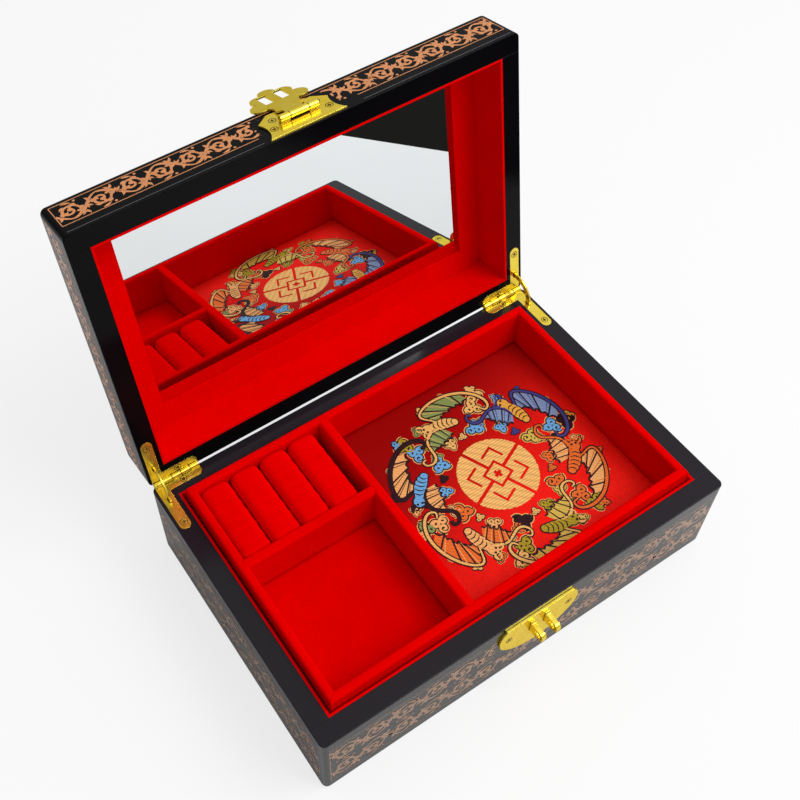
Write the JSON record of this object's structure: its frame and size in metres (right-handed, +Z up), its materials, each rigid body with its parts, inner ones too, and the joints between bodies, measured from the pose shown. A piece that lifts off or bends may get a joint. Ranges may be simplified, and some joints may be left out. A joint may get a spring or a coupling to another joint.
{
  "type": "jewelry box",
  "caption": "Lacquered wooden jewelry box with hinged mirror lid, lift-out tray with ring rolls, quadrant hinges and a hasp over a pierced staple.",
  "frame": {"origin": "centre of the base's underside", "axes": "+Z up, +X to the right seen from the front, +Y to the back where the hinges are; the lid is open"},
  "size_m": [0.28, 0.2827, 0.2504],
  "materials": {
    "lacquer": "high-gloss black lacquer over wood, painted scroll bands",
    "flock": "red flocked velvet",
    "panel": "plain gloss black lacquer",
    "brass": "polished, bright",
    "mirror_glass": "silvered flat mirror",
    "brocade": "red silk brocade with a woven medallion"
  },
  "bodies": {
    "base": {"base_front": "lacquer", "base_back": "lacquer", "base_left": "lacquer", "base_right": "lacquer", "base_floor": "panel", "base_lining_front": "flock", "base_lining_back": "flock", "base_lining_left": "flock", "base_lining_right": "flock", "tray_ledge_left": "flock", "tray_ledge_right": "flock", "base_floor_pad": "flock", "hinge_base_leaf_left": "brass", "hinge_base_leaf_right": "brass", "hinge_pin_left": "brass", "hinge_pin_right": "brass", "hinge_base_screws": "brass", "staple_plate": "brass", "staple_lugs": "brass", "staple_screws": "brass"},
    "lid": {"lid_front": "lacquer", "lid_back": "lacquer", "lid_left": "lacquer", "lid_right": "lacquer", "lid_panel": "panel", "lid_lining_front": "flock", "lid_lining_back": "flock", "lid_lining_left": "flock", "lid_lining_right": "flock", "mirror": "mirror_glass", "mirror_border_front": "flock", "mirror_border_back": "flock", "mirror_border_left": "flock", "mirror_border_right": "flock", "hinge_lid_leaf_left": "brass", "hinge_lid_leaf_right": "brass", "hinge_lid_screws": "brass", "hasp_plate": "brass", "hasp_pin": "brass", "hasp_screws": "brass"},
    "hasp": {"hasp_leaf": "brass"},
    "stay_left": {"stay_left": "brass"},
    "stay_right": {"stay_right": "brass"},
    "tray": {"tray_front": "flock", "tray_back": "flock", "tray_left": "flock", "tray_right": "flock", "tray_long_divider": "flock", "tray_cross_divider": "flock", "tray_floor": "flock", "ring_roll_1": "flock", "ring_roll_2": "flock", "ring_roll_3": "flock", "ring_roll_4": "flock", "brocade_pad": "brocade", "velvet_pad": "flock"}
  },
  "joints": [
    {"name": "lid_hinge", "type": "hinge", "parent": "base", "child": "lid", "pos_m": [0, 0.0927, 0.065], "axis": [1, 0, 0], "range_deg": [0, 100.66]},
    {"name": "stay_left_turn", "type": "hinge", "parent": "base", "child": "stay_left", "pos_m": [-0.1345, 0.0927, 0.065], "axis": [1, 0, 0], "range_deg": [0, 50.4]},
    {"name": "stay_right_turn", "type": "hinge", "parent": "base", "child": "stay_right", "pos_m": [0.1345, 0.0927, 0.065], "axis": [1, 0, 0], "range_deg": [0, 50.4]},
    {"name": "hasp_swing", "type": "hinge", "parent": "lid", "child": "hasp", "pos_m": [0.0023, 0.13942, 0.24832], "axis": [1, 0, 0], "range_deg": [0, 188.5]},
    {"name": "tray_lift", "type": "slide", "parent": "base", "child": "tray", "axis": [0, 0, 1], "range_m": [0, 0.015]}
  ],
  "couplings": [
    {"joint": "stay_left_turn", "follows": "lid_hinge", "ratio": 0.5},
    {"joint": "stay_right_turn", "follows": "lid_hinge", "ratio": 0.5}
  ]
}
